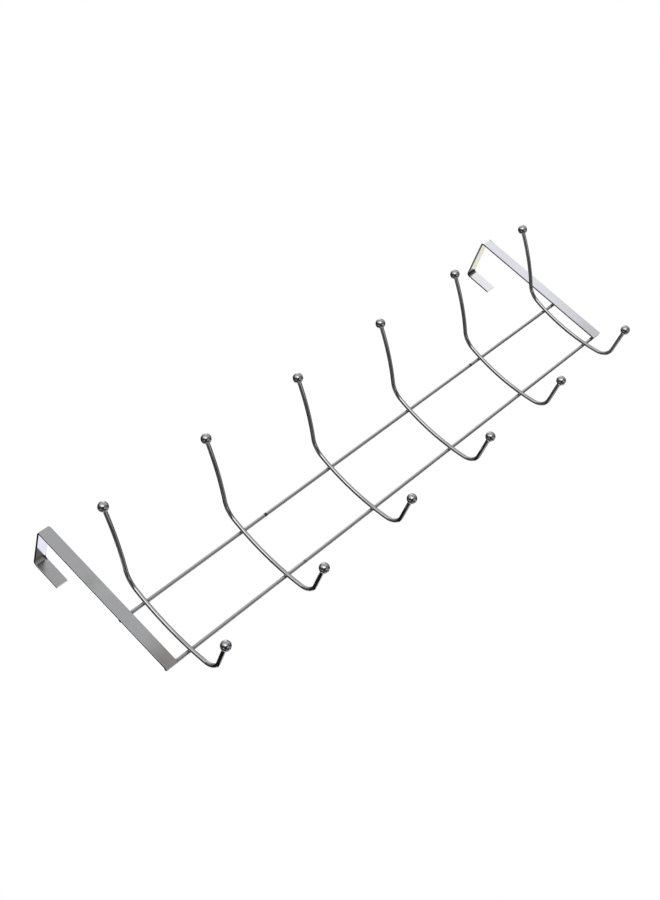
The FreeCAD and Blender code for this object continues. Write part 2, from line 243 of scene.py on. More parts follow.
# %% [markdown]
# The studio that the chrome mirrors
#
# Chrome has almost no colour of its own. What the eye reads as chrome is the room in it, so the light
# is the most important finish of all. The room could be built from lamps and cards, but they would
# stand in the way when the camera walks round the rack. Here the world holds them: each softbox is a
# soft-edged rectangle in one direction of the sky.

# %% Softboxes
def grey(level):
    """A light's colour without any tint."""
    return (level, level, level, 1.0)


SOFTBOXES = [
    # name, azimuth and elevation, half width, half height and edge in degrees, colour
    ("ceiling above the camera", (-42, 36), 20, 14, 8, grey(0.72)),
    ("table top below", (60, -66), 34, 14, 10, grey(0.24)),
    ("dim wall low on the left", (-98, -42), 26, 20, 10, grey(0.11)),
    ("white card round the lens", (-27, 4), 18, 17, 8, grey(1.32)),
    ("white card right of the lens", (-10, -14), 11, 10, 5, grey(1.20)),
    ("black flag below the camera", (-73, -41), 20, 14, 13, grey(0.0)),
    ("reflector left of the flag", (-99, -9), 10, 9, 9, grey(0.38)),
    ("reflector right of the flag", (-17, -65), 13, 9, 8, grey(0.48)),
    ("dark edge of the table", (36, -19), 23, 6, 5, (0.11, 0.11, 0.085, 1.0)),
    ("lamp overhead on the right", (98, 50), 26, 13, 10, grey(1.00)),
    ("white wall behind", (180, -3), 14, 10, 7, grey(0.80)),
    ("white sheet behind the left end", (157, -21), 8, 8, 3, (1.0, 0.99, 1.12, 1.0)),
    ("cream wall behind the right end", (134, -16), 6, 8, 3, (0.93, 0.90, 0.74, 1.0)),
    ("dim corner behind on the left", (-127, 13), 9, 8, 6, grey(0.15)),
    ("table light, behind on the left", (-176, -44), 18, 9, 8, grey(0.45)),
    ("table light, behind on the right", (133, -54), 16, 9, 10, grey(0.45)),
]
print(f"softboxes: {len(SOFTBOXES)}, the brightest of them {max(box[-1][0] for box in SOFTBOXES):.2f}")

# %% [markdown]
# A rectangle in the sky
#
# A gradient or a blurred disc would be simpler than a rectangle, but round patches give chrome a pearly
# look, and a strip with a clear edge is what makes a wire look round. A direction is split into how far
# it points ahead, across and up, as seen by someone who faces the softbox. Across over ahead is then
# the tangent of an angle, and a smooth step between two tangents is an edge that many degrees soft.

# %% Masks for the sky
HORIZON_FADE = 0.1              # a mask is nothing sideways and behind, and full from this far ahead
LEAST_DEPTH = 0.05              # keeps the division away from zero


def towards(azimuth, elevation):
    """A direction of the room: degrees from straight in front, towards the right end, and above level."""
    turn = math.radians(azimuth)
    rise = math.radians(elevation)
    return Vector((math.sin(turn) * math.cos(rise), -math.cos(turn) * math.cos(rise), math.sin(rise)))


def along(finish, direction, axis):
    """How far a direction points along an axis."""
    settings = {"operation": "DOT_PRODUCT"}
    return finish.node("ShaderNodeVectorMath", settings, {0: direction, 1: axis}, out="Value")


def softbox_mask(finish, direction, aim, half_width, half_height, edge):
    """1 inside a rectangle of the sky and 0 outside, with an edge that many degrees soft."""
    forward = towards(*aim)
    across = forward.cross(Vector((0, 0, 1))).normalized()
    upward = across.cross(forward)
    depth = along(finish, direction, forward)
    inside = depth.step(0.0, HORIZON_FADE)
    safe_depth = depth.maths("MAXIMUM", depth, LEAST_DEPTH)
    for axis, half in ((across, half_width), (upward, half_height)):
        outer = math.tan(math.radians(half + edge / 2))
        inner = math.tan(math.radians(half - edge / 2))
        inside = inside * abs(along(finish, direction, axis) / safe_depth).step(outer, inner)
    return inside


print("level with the rack and straight in front:", [round(part, 2) for part in towards(0, 0)])

# %% [markdown]
# The world
#
# Between the softboxes the room is dark, a little lighter on one side and darker behind. Only mirrored
# rays see it. Every other ray, the camera's own included, sees plain white, which also lights the floor
# evenly. A light path node tells the two kinds of ray apart. Two worlds would be simpler to read, but
# Blender has only one at a time.

# %% The room round the rack
BRIGHT_SIDE = Vector((0.45, -0.70, 0.55)).normalized()
BRIGHT_RISE = (0.0, 0.95)       # how far towards the bright side the room begins and ends to lighten
ROOM_LIT = grey(0.44)
ROOM_DARK = grey(0.04)
BACK_SIDE = Vector((0.25, 0.95, 0.15)).normalized()
BACK_RISE = (0.30, 0.72)
ROOM_BEHIND = grey(0.01)
WHITE = grey(1.0)


def light_studio():
    """The world: plain white for every ray but a mirrored one, which sees the softboxes."""
    world = bpy.data.worlds.new("studio")
    bpy.context.scene.world = world
    finish = Finish(world)
    direction = finish.node("ShaderNodeTexCoord", out="Generated")
    lit = along(finish, direction, BRIGHT_SIDE).step(*BRIGHT_RISE)
    behind = along(finish, direction, BACK_SIDE).step(*BACK_RISE)
    room = finish.mix(behind, finish.mix(lit, ROOM_DARK, ROOM_LIT), ROOM_BEHIND)
    for name, aim, half_width, half_height, edge, colour in SOFTBOXES:
        mask = softbox_mask(finish, direction, aim, half_width, half_height, edge)
        room = finish.mix(mask, room, colour)
    mirrored = finish.node("ShaderNodeLightPath", out="Is Glossy Ray")
    seen = finish.mix(mirrored, WHITE, room)
    background = finish.node("ShaderNodeBackground", sockets={"Color": seen, "Strength": 1.0})
    finish.node("ShaderNodeOutputWorld", sockets={"Surface": background})
    # the white is even, so it needs no sampling map, and satin faces then mirror the softboxes alone
    world.cycles.sampling_method = "NONE"
    return len(finish.tree.nodes)


print(f"studio: {light_studio()} nodes in the world")
# Standard leaves white white, where a filmic view would turn it grey
bpy.context.scene.view_settings.view_transform = "Standard"

# %% [markdown]
# Two lamps for the right strap
#
# The sky is the same for every piece, but a studio isn't: in the photograph the right strap is far
# lighter than the rails beside it, though both mirror the same direction. Only a light of its own can
# do that. Photographers hold a small panel lamp to the part they want to lift, and so does this scene,
# with one for the arm and a smaller one for the lip. An area lamp glows on one side only, the camera
# doesn't see it, and light linking keeps it to the strap: the rails and hooks near it don't mirror it.

# %% The lamps' sizes and light
LAMP_DISTANCE = 14 * MM
ARM_LAMP = (24 * MM, 176 * MM)  # across and up
LIP_LAMP = (20 * MM, 40 * MM)
LAMP_LEAN = 0.35                # how far each lamp is turned away from the underside of the web
ARM_LIGHT = (0.91, 0.91, 0.98, 1)
LIP_LIGHT = (1.09, 1.09, 1.15, 1)
FADED_LIGHT = (0.66, 0.66, 0.72, 1)      # what the lower part of a lamp gives
FADED_BELOW = -110 * MM
FULL_ABOVE = -50 * MM
WATTS_PER_AREA = 1.68           # found by trial: the strap then has the photograph's tone


def glowing_panel(name, panel, colour):
    """The light of a panel lamp, which fades towards its lower part."""
    light = bpy.data.lights.new(name, "AREA")
    light.shape = "RECTANGLE"
    light.size, light.size_y = panel
    light.energy = WATTS_PER_AREA * panel[0] * panel[1]
    finish = Finish(light)
    place = finish.node("ShaderNodeNewGeometry", out="Position")
    height = finish.node("ShaderNodeSeparateXYZ", sockets={0: place}, out="Z")
    graded = finish.mix(height.step(FADED_BELOW, FULL_ABOVE), FADED_LIGHT, colour)
    glow = finish.node("ShaderNodeEmission", sockets={"Color": graded, "Strength": 1.0})
    finish.node("ShaderNodeOutputLight", sockets={"Surface": glow})
    return light


print(f"lamps of {ARM_LAMP[1] / MM:.0f} and {LIP_LAMP[1] / MM:.0f} mm")

# %% The lamps in place
lamp_lit = bpy.data.collections.new("lamp_lit")      # the pieces that the lamps light


def add_lamp(name, spot, panel, colour):
    """A panel lamp in the way that a face towards the front mirrors the camera's line of sight."""
    sight = (spot - Vector(CAMERA_PLACE)).normalized()
    mirrored = sight.reflect(Vector((0, 1, 0)))
    front = Vector((0, LAMP_LEAN, 0)) - mirrored
    facing = front.to_track_quat("-Z", "Y").to_matrix().to_4x4()
    lamp = bpy.data.objects.new(name, glowing_panel(name, panel, colour))
    lamp.matrix_world = Matrix.Translation(spot + mirrored * LAMP_DISTANCE) @ facing
    lamp.visible_camera = False
    lamp.visible_diffuse = False
    lamp.light_linking.receiver_collection = lamp_lit
    bpy.context.scene.collection.objects.link(lamp)
    print(f"{name}: {LAMP_DISTANCE / MM:.0f} mm off, towards", [round(part, 2) for part in mirrored])


right_low, right_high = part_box("right_strap")
right_middle = (right_low.x + right_high.x) / 2
add_lamp("arm_lamp", Vector((right_middle, right_low.y, right_low.z / 2)), ARM_LAMP, ARM_LIGHT)
add_lamp("lip_lamp", Vector((right_middle, DOOR_GAP, -LIP_DROP / 2)), LIP_LAMP, LIP_LIGHT)

# %% [markdown]
# The floor
#
# The rack hangs, so nothing of it touches the floor. A pale disc well below it grounds the other views.
# It could be a plane, but a disc has no corners to catch the eye. It is kept out of the mirrors, because
# a white floor there would wash out the dark underside that makes the wire look round.

# %% A mesh in the scene
def new_object(name, bm, material):
    """An object at the origin that holds a finished bmesh and one material."""
    mesh = bpy.data.meshes.new(name)
    bm.to_mesh(mesh)
    bm.free()
    mesh.materials.append(material)
    made = bpy.data.objects.new(name, mesh)
    bpy.context.scene.collection.objects.link(made)
    return made


# %% Pale paint
FLOOR_SHADES = ((0.86, 0.86, 0.85, 1), (0.90, 0.90, 0.89, 1))
FLOOR_CLOUDS = 3.0              # grains per metre
FLOOR_ROUGHNESS = 0.8


def pale_paint():
    """A matt finish whose two pale shades run into each other."""
    material = bpy.data.materials.new("pale_floor")
    finish = Finish(material)
    place = finish.node("ShaderNodeTexCoord", out="Object")
    grains = {"Vector": place, "Scale": FLOOR_CLOUDS, "Detail": 3.0}
    colour = finish.mix(finish.node("ShaderNodeTexNoise", sockets=grains), *FLOOR_SHADES)
    sockets = {"Base Color": colour, "Roughness": FLOOR_ROUGHNESS}
    shader = finish.node("ShaderNodeBsdfPrincipled", sockets=sockets)
    finish.node("ShaderNodeOutputMaterial", sockets={"Surface": shader})
    return material


# %% Floor
FLOOR_RADIUS = 1.4
FLOOR_SIDES = 96
FLOOR_DROP = 0.95               # below the lowest point of the rack


def add_floor():
    """A pale disc under the rack."""
    bm = bmesh.new()
    bmesh.ops.create_circle(bm, cap_ends=True, segments=FLOOR_SIDES, radius=FLOOR_RADIUS)
    bmesh.ops.translate(bm, verts=bm.verts, vec=(0, 0, cad_low.z - FLOOR_DROP))
    floor = new_object("floor", bm, pale_paint())
    floor.visible_glossy = False


add_floor()
print(f"floor: {FLOOR_DROP / MM:.0f} mm below the rack")

# %% [markdown]
# Grain, waves and haze
#
# Decorative chrome is a very thin, slightly blue mirror over nickel. It copies what is under it: the long
# faint lines of drawn wire and rolled bar, and small waves that bend the mirrored room. An image could
# hold all of this, but it would stretch on a bent wire. Noise in the piece's own coordinates needs no
# unwrapping: stretched along the bar it gives the lines, and round and slow it gives the waves.

# %% Noise in the plating
WAVES = (60.0, 60.0, 60.0)      # grains per metre along X, Y and Z
HAZE = (25.0, 25.0, 25.0)
HAZE_LIMITS = (0.45, 0.75)      # noise below the first is clear, and above the second clouded


def cloud(finish, place, grains, detail=2.0):
    """Noise whose grain is stretched: the numbers are grains per metre along each axis."""
    stretched = finish.node("ShaderNodeVectorMath", {"operation": "MULTIPLY"}, {0: place, 1: grains})
    return finish.node("ShaderNodeTexNoise", sockets={"Vector": stretched, "Scale": 1.0, "Detail": detail})


print(f"waves of {1 / WAVES[0] / MM:.0f} mm, haze in clouds of {1 / HAZE[0] / MM:.0f} mm")

# %% [markdown]
# Chrome plating
#
# Every piece has the same plating in four layers. Clean chrome comes first, a little clouded by haze.
# Where a joint was heated, the plating is thin and dull and has a brown stain, and the same layer also
# paints shade where the parts meet and a darker reflection towards the arms' lower ends. Black spots are
# the last
# layer: pits and a dark ring on the rails, and painted shade in the folds' corners. Each layer is mixed
# over the one before by its own mask, and makes the surface rougher as well as darker. Layered shaders
# could do this too, but mixing colours and roughness keeps one shader, which other programs can read.

# %% The four layers
CHROME = (0.80, 0.805, 0.82, 1)
CLOUDED = (0.72, 0.70, 0.74, 1)
# brown of stains, also used for painted shade where parts meet and the arms' painted darker reflection
STAIN_AND_SHADE = (0.34, 0.30, 0.25, 1)
# the dark spots are pits and a dark ring on the rails, and painted shade in the folds' corners
DARK_SPOT = (0.10, 0.09, 0.08, 1)
HAZE_COVER = 0.35               # how much of the colour below a full mask hides
STAIN_AND_SHADE_COVER = 0.75
LINES_ROUGHNESS = 0.05          # what a full mask adds to the roughness
HAZE_ROUGHNESS = 0.05
STAIN_AND_SHADE_ROUGHNESS = 0.22
SPOT_ROUGHNESS = 0.3
LINES_HEIGHT = 0.05             # shares of the bump
WAVES_HEIGHT = 0.95
BUMP_STRENGTH = 0.10
BUMP_DEPTH = 0.4 * MM
print(f"clean chrome mirrors {CHROME[1]:.0%} of the light, and a stain {STAIN_AND_SHADE[1]:.0%}")

# %% The plated finish
def plated(name, lines, gloss, stain_and_shade=None, spots=None):
    """A chrome finish. lines stretches its fine lines, gloss is its roughness at its cleanest, and the last
    two arguments are functions that turn coordinates into masks of duller and of darker plating. These
    masks hold real stains and pits, and also painted shade and a painted darker reflection."""
    material = bpy.data.materials.new(name)
    finish = Finish(material)
    place = finish.node("ShaderNodeTexCoord", out="Object")
    fine = cloud(finish, place, lines)
    haze = cloud(finish, place, HAZE, detail=4.0).step(*HAZE_LIMITS)
    colour = finish.mix(haze * HAZE_COVER, CHROME, CLOUDED)
    clean = gloss(finish, place) if callable(gloss) else gloss
    roughness = clean + fine * LINES_ROUGHNESS + haze * HAZE_ROUGHNESS
    # stains, painted shade where parts meet, and the arms' painted darker reflection
    if stain_and_shade:
        dull = stain_and_shade(finish, place)
        colour = finish.mix(dull * STAIN_AND_SHADE_COVER, colour, STAIN_AND_SHADE)
        roughness = roughness + dull * STAIN_AND_SHADE_ROUGHNESS
    # dark spots: pits and a dark ring on the rails, and painted shade in the folds' corners
    if spots:
        dark = spots(finish, place)
        colour = finish.mix(dark, colour, DARK_SPOT)
        roughness = roughness + dark * SPOT_ROUGHNESS
    height = fine * LINES_HEIGHT + cloud(finish, place, WAVES, detail=1.0) * WAVES_HEIGHT
    bump = {"Strength": BUMP_STRENGTH, "Distance": BUMP_DEPTH, "Height": height}
    sockets = {"Base Color": colour, "Metallic": 1.0, "Roughness": roughness}
    sockets["Normal"] = finish.node("ShaderNodeBump", sockets=bump)
    shader = finish.node("ShaderNodeBsdfPrincipled", sockets=sockets)
    finish.node("ShaderNodeOutputMaterial", sockets={"Surface": shader})
    print(f"finish: {name}, {len(finish.tree.nodes)} nodes")
    return material


# %% [markdown]
# Masks by place
#
# Heat leaves its marks at the joints, and painted shade darkens them where the parts meet. A mask for that
# could be painted by hand, but it needs no painting: the joints lie where wires cross, and those places are
# known. A coordinate's distance from such a place, put through a smooth step, is a soft-edged band.

# %% Bands and patches
PATCHES = (900.0, 900.0, 900.0)    # grains per metre that break up a stain and its painted shade


def axis_of(finish, place, axis):
    """One coordinate of a place."""
    return finish.node("ShaderNodeSeparateXYZ", sockets={0: place}, out=axis)


def band(value, centre, half, edge):
    """1 within half of a centre, falling to 0 over an edge."""
    return abs(value - centre).step(half + edge, half)


print(f"stains break up into patches of {1 / PATCHES[0] / MM:.1f} mm")

# %% [markdown]
# Stain and painted shade at the welds
#
# A hook is stained where it crosses a rail, but only at the back, where it touches, and shade is painted
# there too. A rail is stained, with painted shade, on both sides of each hook and beside each arm. Six
# separate bands would do for the hooks. They stand at even distances, though, so one folded coordinate
# gives the distance to the nearest hook at once.

# %% Stain and painted shade on the hooks and rails
WIRE_STAIN_AND_SHADE = (1.2 * MM, 1.8 * MM)      # half height of the band, and its soft edge
WIRE_BACK = (-2.2 * MM, -0.4 * MM)     # none in front of the first, and full behind the second
WIRE_PATCHES = (0.25, 0.7)
BY_HOOK = (4.4 * MM, 2.0 * MM)         # none beyond the first, and full within the second
BY_ARM = (0.6 * MM, 2.4 * MM)          # how far the stain reaches past the arm, and its soft edge
RAIL_PATCHES = (0.2, 0.6)


def weld_stain_and_shade_on_wire(finish, place):
    """Stain and painted shade on a hook where it crosses the rails, on the side that faces them."""
    height = axis_of(finish, place, "Z")
    back = axis_of(finish, place, "Y").step(*WIRE_BACK)
    uneven = cloud(finish, place, PATCHES).step(*WIRE_PATCHES)
    upper = band(height, rail_axes["upper_rail"].z, *WIRE_STAIN_AND_SHADE)
    lower = band(height, rail_axes["lower_rail"].z, *WIRE_STAIN_AND_SHADE)
    return (upper + lower) * back * uneven


def weld_stain_and_shade_on_rail(finish, place):
    """Stain and painted shade on a rail on both sides of each hook, which stand one pitch apart,
    and beside each arm.
    """
    pitch = hook_places[1] - hook_places[0]
    arm = (strap_low.x + strap_high.x) / 2
    along_rail = axis_of(finish, place, "X")
    from_hook = along_rail.maths("PINGPONG", along_rail - hook_places[0], pitch / 2)
    by_arm = band(abs(along_rail), abs(arm), STRAP_WIDTH / 2 + BY_ARM[0], BY_ARM[1])
    uneven = cloud(finish, place, PATCHES).step(*RAIL_PATCHES)
    return (from_hook.step(*BY_HOOK) + by_arm) * uneven


print(f"stain: {2 * sum(WIRE_STAIN_AND_SHADE) / MM:.1f} mm of a hook and {2 * BY_HOOK[0] / MM:.1f} mm of a rail")

# %% [markdown]
# Pits and a dark ring on the rails
#
# The two rails show a few small dark pits, and a dark ring where each meets the right arm. Noise could
# scatter such marks, but then nobody could say where they fall. Each pit is a band, little more than a
# millimetre long, at a place that was read from the photograph.

# %% Dark marks on the rails
UPPER_PITS = (-112 * MM, 123 * MM)     # places along each rail
LOWER_PITS = (-116.5 * MM,)
PIT_HALF = 0.6 * MM
FAINT_PIT_HALF = 0.4 * MM
PIT_EDGE = 0.8 * MM
FAINT = 0.5
BETWEEN_RAILS = (-110 * MM, -100 * MM)
DARK_RING_PLACE = right_low.x - 1.4 * MM
DARK_RING = (0.9 * MM, 1.2 * MM)            # half length of the ring, and its soft edge
DARK_RING_COVER = 0.85


def rail_marks(finish, place):
    """Small dark pits on the rails, and a dark ring where each meets the right arm."""
    along_rail = axis_of(finish, place, "X")
    upper = axis_of(finish, place, "Z").step(*BETWEEN_RAILS)
    marks = sum(band(along_rail, pit, PIT_HALF, PIT_EDGE) for pit in UPPER_PITS) * upper
    faint = sum(band(along_rail, pit, FAINT_PIT_HALF, PIT_EDGE) for pit in LOWER_PITS)
    dark_ring = band(along_rail, DARK_RING_PLACE, *DARK_RING) * DARK_RING_COVER
    return marks + faint * (1 - upper) * FAINT + dark_ring


print(f"pits: {len(UPPER_PITS)} on the upper rail, {len(LOWER_PITS)} on the lower")

# %% [markdown]
# Painted reflection and shade on the straps
#
# Towards the arm's lower end a darker, browner reflection is painted into the plating, more on the left
# strap than on the right. In the corner of each back fold a little black shade is painted: across the whole
# right strap, and on one edge of the left one. Both straps could have their own finish, but one finish
# that knows left from right by its X coordinate keeps the rest of the plating the same on both.

# %% Painted darker reflection on the arms
MIDDLE = (-10 * MM, 10 * MM)           # left strap before the first, right strap past the second
DARKENING_START = ARM_END + 30 * MM
DARKENING_FULL = ARM_END + 3 * MM
RIGHT_IS_LIGHTER = 0.65
STREAKS = (120.0, 120.0, 60.0)         # grains per metre
STREAK_CONTRAST = 0.5
STREAK_LEVEL = 0.55


def arm_end_painted_reflection(finish, place):
    """A painted darker, browner reflection that grows towards the arm's lower end, and is weaker on the
    right strap.
    """
    end = axis_of(finish, place, "Z").step(DARKENING_START, DARKENING_FULL)
    share = 1.0 - axis_of(finish, place, "X").step(*MIDDLE) * RIGHT_IS_LIGHTER
    return end * share * (cloud(finish, place, STREAKS) * STREAK_CONTRAST + STREAK_LEVEL)


print(f"brown cast: the last {(DARKENING_START - ARM_END) / MM:.0f} mm of each arm")

# %% Painted shade in the folds
CORNER_HEIGHT = (-3.0 * MM, -1.6 * MM)
CORNER_REACH = (2.6 * MM, 0.8 * MM)    # half length of the spot along the web, and its soft edge
EDGE_SPOT = (1.0 * MM, 1.0 * MM)


def painted_fold_shade(finish, place):
    """Painted black shade in a back fold's corner: across the right strap, on one edge of the left."""
    across = axis_of(finish, place, "X")
    corner = axis_of(finish, place, "Z").step(*CORNER_HEIGHT)
    corner = corner * band(axis_of(finish, place, "Y"), DOOR_GAP, *CORNER_REACH)
    right_strap = across.step(*MIDDLE)
    left_edge = band(across, strap_high.x, *EDGE_SPOT)
    return corner * (right_strap + left_edge)


print(f"spots: the upper {-CORNER_HEIGHT[0] / MM:.0f} mm of each lip's corner")

# %% [markdown]
# Where the strap shines
#
# A strap is satin where hands and doors rub it. The underside of its web is never rubbed, so it is still
# bright, and it mirrors the wall with a sharp edge. One roughness for all would lose either the soft arm
# or the sharp web, so the roughness is worked out from the place as well.

# %% Gloss of the straps
SATIN = 0.20
BRIGHT = 0.03
INSIDE_ARM = (1 * MM, 3 * MM)
UNDER_WEB = (-4 * MM, -1.5 * MM)


def strap_gloss(finish, place):
    """The strap's roughness: satin, but bright under the web."""
    inside = axis_of(finish, place, "Y").step(*INSIDE_ARM)
    under_web = inside * axis_of(finish, place, "Z").step(*UNDER_WEB)
    return SATIN - under_web * (SATIN - BRIGHT)


print(f"roughness of a strap: {SATIN:.2f}, and {BRIGHT:.2f} under the web")

# %% [markdown]
# Five finishes
#
# The bar, the drawn wire of the hooks, the rails, the balls and the welds each have their own plating.
# They differ in the direction of their fine lines, in gloss and in their marks. The lines run along the
# bar: few grains per metre along it, and many across.

# %% The five finishes
# the strap's two masks paint a darker reflection towards the arms' lower ends and shade in the folds'
# corners
strap_chrome = plated("strap_chrome", (1400.0, 12.0, 12.0), strap_gloss, arm_end_painted_reflection, painted_fold_shade)
# the hooks' and rails' stain masks also paint shade where the wires and arms meet
wire_chrome = plated("wire_chrome", (1400.0, 60.0, 60.0), 0.03, weld_stain_and_shade_on_wire)
rail_chrome = plated("rail_chrome", (12.0, 1400.0, 1400.0), 0.05, weld_stain_and_shade_on_rail, rail_marks)
ball_chrome = plated("ball_chrome", (160.0, 160.0, 160.0), 0.02)
weld_chrome = plated("weld_chrome", (700.0, 700.0, 700.0), 0.16)

# %% [markdown]
# From a bmesh to a piece
#
# Each piece ends the same way: its normals point outwards, the mesh goes into an object at the origin,
# its faces are shaded smooth up to a sharp angle, it gets its finish, it rides on the rack's one body,
# and its CAD piece, where it has one, is hidden. These steps could follow each mesh, but one function
# can't forget one.

# %% Finished pieces
SHARP = math.radians(40)


def add_piece(name, bm, material, node=None):
    """Turns a bmesh into a finished piece of the rack."""
    bmesh.ops.recalc_face_normals(bm, faces=bm.faces)
    piece = new_object(name, bm, material)
    piece.data.shade_smooth()
    piece.data.set_sharp_from_angle(angle=SHARP)
    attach(piece, "root")
    if node:
        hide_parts(node)
    return piece


print(f"faces that meet at more than {math.degrees(SHARP):.0f} degrees keep a sharp edge")

# %% [markdown]
# Sweeping a bar through its bends
#
# A wire former feeds straight wire and swings it round a pin, over and over. The same two moves make the
# mesh: extrude the end face to feed the bar, and spin it about the pin to bend the bar. Blender's curve
# with a bevel could do it too, but its rings bunch up in tight bends. Each move here knows where the
# bar's end is and which way it heads, so the next move starts tangent to the last, as real wire does.
# The end face goes into each move together with its edges. Given the face alone, Blender would keep the
# old one, and every move would leave a hidden wall inside the bar.

# %% The bender
LEAST_STEPS = 4                 # a bend has at least this many faces along it


def only(kind, made):
    """The vertices or the faces among what an operator made."""
    return [item for item in made if isinstance(item, kind)]


class Bender:
    """A bar that grows in a plane of constant X. Headings are in radians from +Y towards +Z."""

    def __init__(self, section, point, heading):
        """section is a bmesh with one face round the origin, which lies flat with its normal up."""
        self.bm = section
        self.point = Vector(point)
        self.heading = heading
        self.face = list(section.faces)
        # the section's normal, +Z, turns to the heading
        turn = Matrix.Rotation(heading - math.pi / 2, 4, "X")
        bmesh.ops.transform(section, matrix=Matrix.Translation(self.point) @ turn, verts=section.verts)

    def way(self):
        """The direction in which the bar's end points."""
        return Vector((0, math.cos(self.heading), math.sin(self.heading)))

    def end(self):
        """The end face with its edges. Without the edges the old end face would stay inside the bar."""
        return self.face + list(dict.fromkeys(edge for face in self.face for edge in face.edges))

    def straight(self, length, steps=1):
        """Feed the bar straight on."""
        feed = self.way() * length / steps
        for _ in range(steps):
            made = bmesh.ops.extrude_face_region(self.bm, geom=self.end())["geom"]
            bmesh.ops.translate(self.bm, verts=only(bmesh.types.BMVert, made), vec=feed)
            self.face = only(bmesh.types.BMFace, made)
            self.point = self.point + feed

    def bend(self, radius, turn, step_length):
        """Bend the bar: a positive turn in radians turns left, from +Y towards +Z."""
        side = math.copysign(1, turn)
        left = Vector((0, -math.sin(self.heading), math.cos(self.heading)))
        pin = self.point + left * radius * side
        steps = max(LEAST_STEPS, round(abs(turn) * radius / step_length))
        made = bmesh.ops.spin(self.bm, geom=self.end(), cent=pin, axis=(1, 0, 0), angle=turn,
                              steps=steps, use_duplicate=False)["geom_last"]
        self.face = only(bmesh.types.BMFace, made)
        self.point = pin + Matrix.Rotation(turn, 3, "X") @ (self.point - pin)
        self.heading += turn


print(f"bender: every bend has at least {LEAST_STEPS} faces along it")

# %% [markdown]
# The hooks
#
# Each double hook is one length of 3 mm wire. Its back is bowed, so it springs against both rails, and
# it turns out of the bow into a long upper prong for a coat and a short lower one for a bag. The prongs
# could be separate pieces, but a seam would show in the mirror. The wire former starts inside the lower
# ball and ends inside the upper one. If the walk ends at the place where the frame has the upper ball,
# every bend is right.

# %% Where a hook starts and turns
WIRE_SIDES = 28
WIRE_STEP = 1.2 * MM            # length of a face in the wide curves, and half of it in the tight bends
PRONG_STEPS = 4
half_spacing = RAIL_SPACING / 2
BOW_BOTTOM = math.asin((half_spacing + BOW_FALL) / BOW_RADIUS)
BOW_TOP = math.asin((half_spacing + BOW_RISE) / BOW_RADIUS)
LOWER_HEADING = math.pi / 2 - BOW_BOTTOM - math.radians(LOWER_BEND[1])


def ball_centre(name):
    """The centre of a ball. Its bore only takes away from the sides that face back and down."""
    low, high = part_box(name)
    return Vector(((low.x + high.x) / 2, low.y + BALL_RADIUS, high.z - BALL_RADIUS))


print(f"bow: {math.degrees(BOW_BOTTOM):.1f} degrees below its middle and {math.degrees(BOW_TOP):.1f} above")

# %% Hooks
def make_hook(number):
    """One double hook, walked from the lower ball's centre to the upper ball's."""
    section = bmesh.new()
    bmesh.ops.create_circle(section, cap_ends=True, segments=WIRE_SIDES, radius=WIRE_RADIUS)
    wire = Bender(section, ball_centre(f"lower_ball_{number}"), LOWER_HEADING)
    wire.straight(LOWER_PRONG, steps=PRONG_STEPS)
    wire.bend(LOWER_BEND[0], math.radians(LOWER_BEND[1]), WIRE_STEP / 2)
    wire.bend(BOW_RADIUS, BOW_BOTTOM + BOW_TOP, WIRE_STEP)
    wire.bend(UPPER_BEND[0], math.radians(UPPER_BEND[1]), WIRE_STEP / 2)
    wire.bend(UPPER_PRONG[0], -math.radians(UPPER_PRONG[1]), WIRE_STEP)
    wire.straight(UPPER_TIP)
    add_piece(f"plated_hook_{number}", wire.bm, wire_chrome, f"hook_{number}")
    return wire


for number in range(1, len(HOOKS) + 1):
    wire = make_hook(number)
    missed = (wire.point - ball_centre(f"upper_ball_{number}")).length
    print(f"plated_hook_{number}: its wire ends {missed / MM:.3f} mm from the upper ball's centre")
UPPER_HEADING = wire.heading

# %% [markdown]
# The balls
#
# The ball ends are solid steel, drilled and pushed on the wire, with the joint run full of solder before
# plating. A sphere stuck on a cylinder would show a hard ring there. The profile is drawn once instead:
# round the ball, through a small hollow fillet, on to the wire and in to the axis. Spun about the axis,
# it is a closed ball with a soft neck.

# %% A ball's profile
NECK_FILLET = 0.55 * MM
BALL_STEPS = 22                 # edges from the pole to the neck
FILLET_STEPS = 6
BALL_SIDES = 40
SAME_POINT = 0.001 * MM         # points nearer than this are one point


def spin_profile(bm, start, cent, angle, steps):
    """Draws an arc of edges from a vertex in the XZ plane, and returns the last vertex."""
    made = bmesh.ops.spin(bm, geom=[start], cent=cent, axis=(0, 1, 0), angle=angle, steps=steps,
                          use_duplicate=False)["geom_last"]
    return only(bmesh.types.BMVert, made)[0]


def ball_profile(bm):
    """Half the outline of a ball with its neck, from the pole above the origin down to the axis."""
    # the hollow's centre lies beside the wire, and both radii together away from the ball's centre
    hollow_x = WIRE_RADIUS + NECK_FILLET
    hollow_z = -math.sqrt((BALL_RADIUS + NECK_FILLET) ** 2 - hollow_x ** 2)
    lean = math.atan2(hollow_x, -hollow_z)
    pole = bm.verts.new((0, 0, BALL_RADIUS))
    shoulder = spin_profile(bm, pole, (0, 0, 0), math.pi - lean, BALL_STEPS)
    throat = spin_profile(bm, shoulder, (hollow_x, 0, hollow_z), lean - math.pi / 2, FILLET_STEPS)
    inner = bm.verts.new((0, 0, throat.co.z))
    bm.edges.new((throat, inner))


print(f"profile: {BALL_STEPS} edges round the ball, {FILLET_STEPS} in a {NECK_FILLET / MM:.2f} mm fillet")

